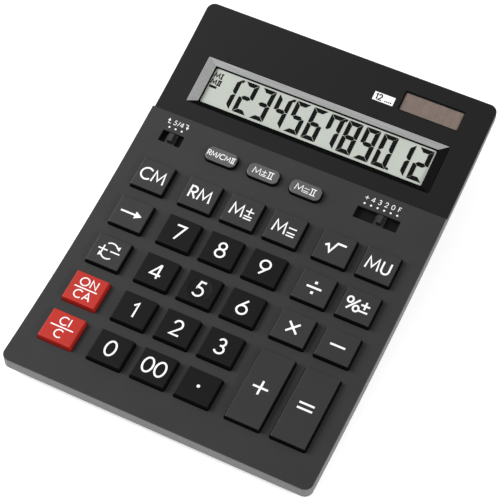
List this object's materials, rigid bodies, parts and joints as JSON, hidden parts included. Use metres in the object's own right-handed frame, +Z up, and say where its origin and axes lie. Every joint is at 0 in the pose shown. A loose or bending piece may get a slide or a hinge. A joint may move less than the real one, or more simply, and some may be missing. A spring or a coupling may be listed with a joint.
{
  "type": "desk calculator",
  "caption": "Slim desk calculator with an arched keyboard of square keys, two double-height keys, oval memory buttons, slide switches, a sunken display and a solar cell.",
  "frame": {"origin": "middle of the footprint, on the desk under the rubber feet", "axes": "+X towards the user's right, +Y from the user's edge towards the display, +Z up"},
  "size_m": [0.1406, 0.1916, 0.037],
  "materials": {
    "case_plastic": "fine matte, moulded",
    "keyboard_face": "fine matte grain",
    "display_face": "fine matte grain",
    "bezel_black": "satin",
    "silver_trim": "satin",
    "clear_pane": "clear",
    "lcd": "grey green, satin",
    "reflector": "diffuse",
    "elastomer": "matte",
    "solar": "glossy, fine lines",
    "wire_sleeve": "semi matte",
    "dome_rubber": "matte silicone",
    "circuit_film": "clear amber",
    "plated_steel": "zinc plated",
    "circuit_board": "solder mask",
    "chip_black": "matte epoxy",
    "black_plastic": "matte",
    "contact_metal": "plated",
    "screw_steel": "zinc plated",
    "foot_rubber": "matte",
    "key_number": "fine matte grain",
    "key_function": "fine matte grain",
    "key_red": "fine matte grain",
    "button_grey": "fine matte grain"
  },
  "bodies": {
    "case": {"lower_case": "case_plastic", "keyboard_panel": "keyboard_face", "display_panel": "display_face", "window_bezel": "bezel_black", "window_trim": "silver_trim", "window_lens": "clear_pane", "lcd_glass": "lcd", "lcd_reflector": "reflector", "zebra_strip": "elastomer", "solar_window": "clear_pane", "solar_cell": "solar", "solar_leads": "wire_sleeve", "dome_sheet": "dome_rubber", "key_film": "circuit_film", "keypad_plate": "plated_steel", "flat_cable": "circuit_film", "main_board": "circuit_board", "driver_chip": "chip_black", "switch_trays": "black_plastic", "battery_door": "case_plastic", "button_cell": "plated_steel", "battery_plus_clip": "contact_metal", "battery_minus_spring": "contact_metal", "case_screws": "screw_steel", "inner_screws": "screw_steel", "rubber_feet": "foot_rubber"},
    "key_clear_entry": {"key_clear_entry": "key_red"},
    "key_0": {"key_0": "key_number"},
    "key_00": {"key_00": "key_number"},
    "key_point": {"key_point": "key_number"},
    "key_clear_all": {"key_clear_all": "key_red"},
    "key_1": {"key_1": "key_number"},
    "key_2": {"key_2": "key_number"},
    "key_3": {"key_3": "key_number"},
    "key_plus": {"key_plus": "key_function"},
    "key_equals": {"key_equals": "key_function"},
    "key_exchange": {"key_exchange": "key_function"},
    "key_4": {"key_4": "key_number"},
    "key_5": {"key_5": "key_number"},
    "key_6": {"key_6": "key_number"},
    "key_multiply": {"key_multiply": "key_function"},
    "key_minus": {"key_minus": "key_function"},
    "key_backspace": {"key_backspace": "key_function"},
    "key_7": {"key_7": "key_number"},
    "key_8": {"key_8": "key_number"},
    "key_9": {"key_9": "key_number"},
    "key_divide": {"key_divide": "key_function"},
    "key_percent": {"key_percent": "key_function"},
    "key_memory_clear": {"key_memory_clear": "key_function"},
    "key_memory_recall": {"key_memory_recall": "key_function"},
    "key_memory_add": {"key_memory_add": "key_function"},
    "key_memory_total": {"key_memory_total": "key_function"},
    "key_root": {"key_root": "key_function"},
    "key_markup": {"key_markup": "key_function"},
    "button_recall_2": {"button_recall_2": "button_grey"},
    "button_add_2": {"button_add_2": "button_grey"},
    "button_total_2": {"button_total_2": "button_grey"},
    "rounding_slider": {"rounding_slider": "black_plastic"},
    "decimal_slider": {"decimal_slider": "black_plastic"}
  },
  "joints": [
    {"name": "press_key_clear_entry", "type": "slide", "parent": "case", "child": "key_clear_entry", "axis": [0, 0.0345, -0.9994], "range_m": [0, 0.0015], "stiffness_N_per_m": 400, "springref_m": -0.0005},
    {"name": "press_key_0", "type": "slide", "parent": "case", "child": "key_0", "axis": [0, 0.0345, -0.9994], "range_m": [0, 0.0015], "stiffness_N_per_m": 400, "springref_m": -0.0005},
    {"name": "press_key_00", "type": "slide", "parent": "case", "child": "key_00", "axis": [0, 0.0345, -0.9994], "range_m": [0, 0.0015], "stiffness_N_per_m": 400, "springref_m": -0.0005},
    {"name": "press_key_point", "type": "slide", "parent": "case", "child": "key_point", "axis": [0, 0.0345, -0.9994], "range_m": [0, 0.0015], "stiffness_N_per_m": 400, "springref_m": -0.0005},
    {"name": "press_key_clear_all", "type": "slide", "parent": "case", "child": "key_clear_all", "axis": [0, 0.0664, -0.9978], "range_m": [0, 0.0015], "stiffness_N_per_m": 400, "springref_m": -0.0005},
    {"name": "press_key_1", "type": "slide", "parent": "case", "child": "key_1", "axis": [0, 0.0664, -0.9978], "range_m": [0, 0.0015], "stiffness_N_per_m": 400, "springref_m": -0.0005},
    {"name": "press_key_2", "type": "slide", "parent": "case", "child": "key_2", "axis": [0, 0.0664, -0.9978], "range_m": [0, 0.0015], "stiffness_N_per_m": 400, "springref_m": -0.0005},
    {"name": "press_key_3", "type": "slide", "parent": "case", "child": "key_3", "axis": [0, 0.0664, -0.9978], "range_m": [0, 0.0015], "stiffness_N_per_m": 400, "springref_m": -0.0005},
    {"name": "press_key_plus", "type": "slide", "parent": "case", "child": "key_plus", "axis": [0, 0.0504, -0.9987], "range_m": [0, 0.0015], "stiffness_N_per_m": 400, "springref_m": -0.0005},
    {"name": "press_key_equals", "type": "slide", "parent": "case", "child": "key_equals", "axis": [0, 0.0504, -0.9987], "range_m": [0, 0.0015], "stiffness_N_per_m": 400, "springref_m": -0.0005},
    {"name": "press_key_exchange", "type": "slide", "parent": "case", "child": "key_exchange", "axis": [0, 0.0981, -0.9952], "range_m": [0, 0.0015], "stiffness_N_per_m": 400, "springref_m": -0.0005},
    {"name": "press_key_4", "type": "slide", "parent": "case", "child": "key_4", "axis": [0, 0.0981, -0.9952], "range_m": [0, 0.0015], "stiffness_N_per_m": 400, "springref_m": -0.0005},
    {"name": "press_key_5", "type": "slide", "parent": "case", "child": "key_5", "axis": [0, 0.0981, -0.9952], "range_m": [0, 0.0015], "stiffness_N_per_m": 400, "springref_m": -0.0005},
    {"name": "press_key_6", "type": "slide", "parent": "case", "child": "key_6", "axis": [0, 0.0981, -0.9952], "range_m": [0, 0.0015], "stiffness_N_per_m": 400, "springref_m": -0.0005},
    {"name": "press_key_multiply", "type": "slide", "parent": "case", "child": "key_multiply", "axis": [0, 0.0981, -0.9952], "range_m": [0, 0.0015], "stiffness_N_per_m": 400, "springref_m": -0.0005},
    {"name": "press_key_minus", "type": "slide", "parent": "case", "child": "key_minus", "axis": [0, 0.0981, -0.9952], "range_m": [0, 0.0015], "stiffness_N_per_m": 400, "springref_m": -0.0005},
    {"name": "press_key_backspace", "type": "slide", "parent": "case", "child": "key_backspace", "axis": [0, 0.1298, -0.9915], "range_m": [0, 0.0015], "stiffness_N_per_m": 400, "springref_m": -0.0005},
    {"name": "press_key_7", "type": "slide", "parent": "case", "child": "key_7", "axis": [0, 0.1298, -0.9915], "range_m": [0, 0.0015], "stiffness_N_per_m": 400, "springref_m": -0.0005},
    {"name": "press_key_8", "type": "slide", "parent": "case", "child": "key_8", "axis": [0, 0.1298, -0.9915], "range_m": [0, 0.0015], "stiffness_N_per_m": 400, "springref_m": -0.0005},
    {"name": "press_key_9", "type": "slide", "parent": "case", "child": "key_9", "axis": [0, 0.1298, -0.9915], "range_m": [0, 0.0015], "stiffness_N_per_m": 400, "springref_m": -0.0005},
    {"name": "press_key_divide", "type": "slide", "parent": "case", "child": "key_divide", "axis": [0, 0.1298, -0.9915], "range_m": [0, 0.0015], "stiffness_N_per_m": 400, "springref_m": -0.0005},
    {"name": "press_key_percent", "type": "slide", "parent": "case", "child": "key_percent", "axis": [0, 0.1298, -0.9915], "range_m": [0, 0.0015], "stiffness_N_per_m": 400, "springref_m": -0.0005},
    {"name": "press_key_memory_clear", "type": "slide", "parent": "case", "child": "key_memory_clear", "axis": [0, 0.1613, -0.9869], "range_m": [0, 0.0015], "stiffness_N_per_m": 400, "springref_m": -0.0005},
    {"name": "press_key_memory_recall", "type": "slide", "parent": "case", "child": "key_memory_recall", "axis": [0, 0.1613, -0.9869], "range_m": [0, 0.0015], "stiffness_N_per_m": 400, "springref_m": -0.0005},
    {"name": "press_key_memory_add", "type": "slide", "parent": "case", "child": "key_memory_add", "axis": [0, 0.1613, -0.9869], "range_m": [0, 0.0015], "stiffness_N_per_m": 400, "springref_m": -0.0005},
    {"name": "press_key_memory_total", "type": "slide", "parent": "case", "child": "key_memory_total", "axis": [0, 0.1613, -0.9869], "range_m": [0, 0.0015], "stiffness_N_per_m": 400, "springref_m": -0.0005},
    {"name": "press_key_root", "type": "slide", "parent": "case", "child": "key_root", "axis": [0, 0.1613, -0.9869], "range_m": [0, 0.0015], "stiffness_N_per_m": 400, "springref_m": -0.0005},
    {"name": "press_key_markup", "type": "slide", "parent": "case", "child": "key_markup", "axis": [0, 0.1613, -0.9869], "range_m": [0, 0.0015], "stiffness_N_per_m": 400, "springref_m": -0.0005},
    {"name": "press_button_recall_2", "type": "slide", "parent": "case", "child": "button_recall_2", "axis": [0, 0.1928, -0.9812], "range_m": [0, 0.0015], "stiffness_N_per_m": 400, "springref_m": -0.0005},
    {"name": "press_button_add_2", "type": "slide", "parent": "case", "child": "button_add_2", "axis": [0, 0.1928, -0.9812], "range_m": [0, 0.0015], "stiffness_N_per_m": 400, "springref_m": -0.0005},
    {"name": "press_button_total_2", "type": "slide", "parent": "case", "child": "button_total_2", "axis": [0, 0.1928, -0.9812], "range_m": [0, 0.0015], "stiffness_N_per_m": 400, "springref_m": -0.0005},
    {"name": "slide_rounding_slider", "type": "slide", "parent": "case", "child": "rounding_slider", "axis": [1, 0, 0], "range_m": [-0.00303, 0.00303]},
    {"name": "slide_decimal_slider", "type": "slide", "parent": "case", "child": "decimal_slider", "axis": [1, 0, 0], "range_m": [-0.00909, 0.00606]}
  ]
}
